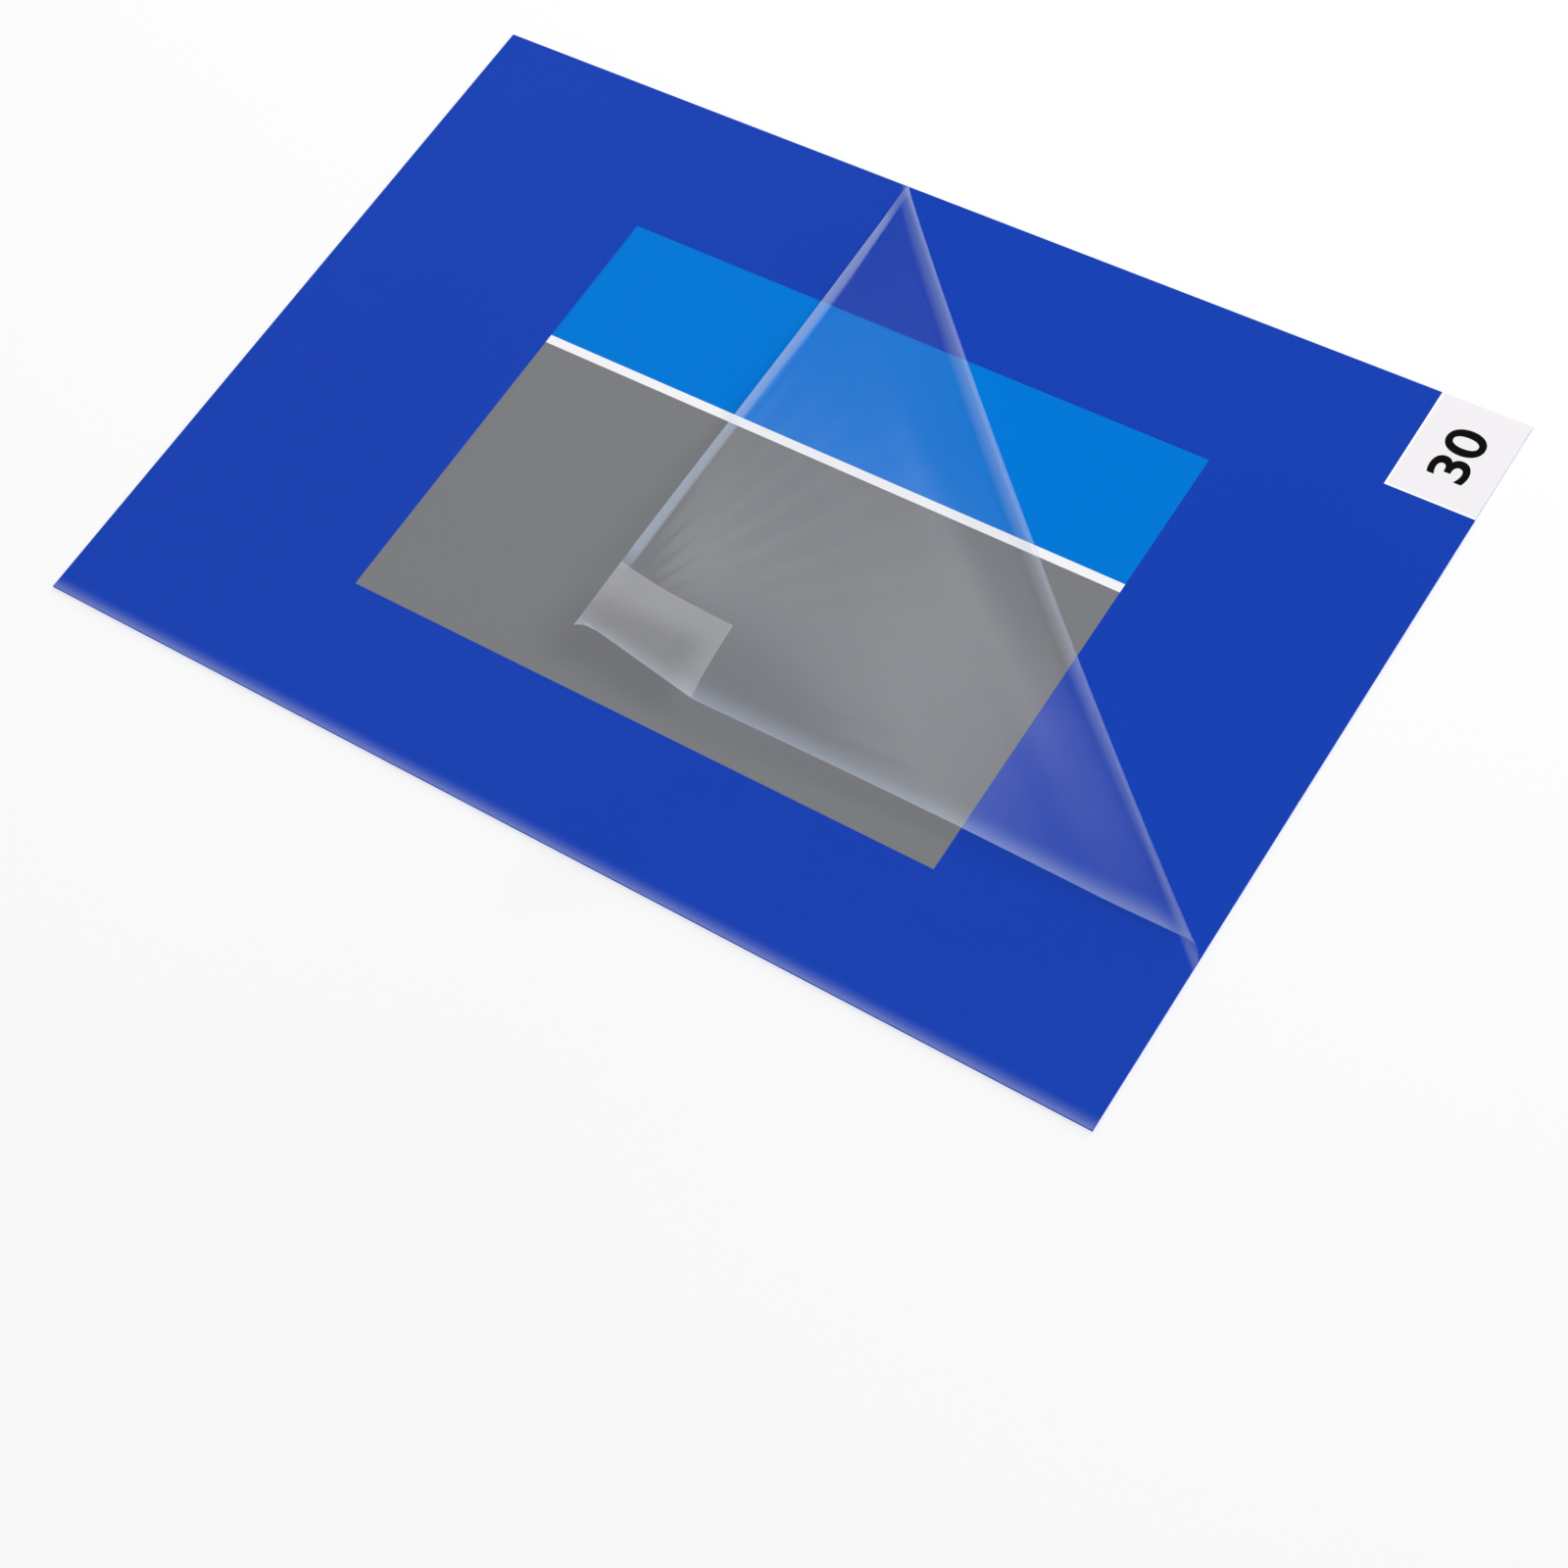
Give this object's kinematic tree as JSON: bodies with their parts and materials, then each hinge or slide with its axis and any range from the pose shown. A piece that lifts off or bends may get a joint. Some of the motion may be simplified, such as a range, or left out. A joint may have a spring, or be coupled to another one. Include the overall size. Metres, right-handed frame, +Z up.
{
  "type": "cleanroom sticky mat",
  "caption": "Stack of blue peel-off adhesive sheets with a numbered corner tab and a printed label, its clear cover film turned back from one corner.",
  "frame": {"origin": "middle of the mat's underside, on the floor", "axes": "+X along the long side, towards the numbered corner; +Y along the short side, towards the numbered corner; +Z up, away from the floor"},
  "size_m": [0.9144, 0.6096, 0.1197],
  "materials": {
    "blue_film": "glossy blue polyethylene film with a tacky coat",
    "clear_film": "clear glossy cover film",
    "frosted_film": "frosted film",
    "tab_paper": "white printed film with black numerals",
    "label_print": "coated print, blue band over grey",
    "liner_paper": "siliconised release paper"
  },
  "bodies": {
    "root": {"release_liner": "liner_paper", "adhesive_sheet_01": "blue_film", "adhesive_sheet_02": "blue_film", "adhesive_sheet_03": "blue_film", "adhesive_sheet_04": "blue_film", "adhesive_sheet_05": "blue_film", "adhesive_sheet_06": "blue_film", "adhesive_sheet_07": "blue_film", "adhesive_sheet_08": "blue_film", "adhesive_sheet_09": "blue_film", "adhesive_sheet_10": "blue_film", "adhesive_sheet_11": "blue_film", "adhesive_sheet_12": "blue_film", "adhesive_sheet_13": "blue_film", "adhesive_sheet_14": "blue_film", "adhesive_sheet_15": "blue_film", "adhesive_sheet_16": "blue_film", "adhesive_sheet_17": "blue_film", "adhesive_sheet_18": "blue_film", "adhesive_sheet_19": "blue_film", "adhesive_sheet_20": "blue_film", "adhesive_sheet_21": "blue_film", "adhesive_sheet_22": "blue_film", "adhesive_sheet_23": "blue_film", "adhesive_sheet_24": "blue_film", "adhesive_sheet_25": "blue_film", "adhesive_sheet_26": "blue_film", "adhesive_sheet_27": "blue_film", "adhesive_sheet_28": "blue_film", "adhesive_sheet_29": "blue_film", "adhesive_sheet_30": "blue_film", "number_tab_top": "tab_paper", "number_tabs_below": "tab_paper", "label_sheet": "label_print", "cover_film": "clear_film", "pull_tab": "frosted_film"}
  },
  "joints": []
}
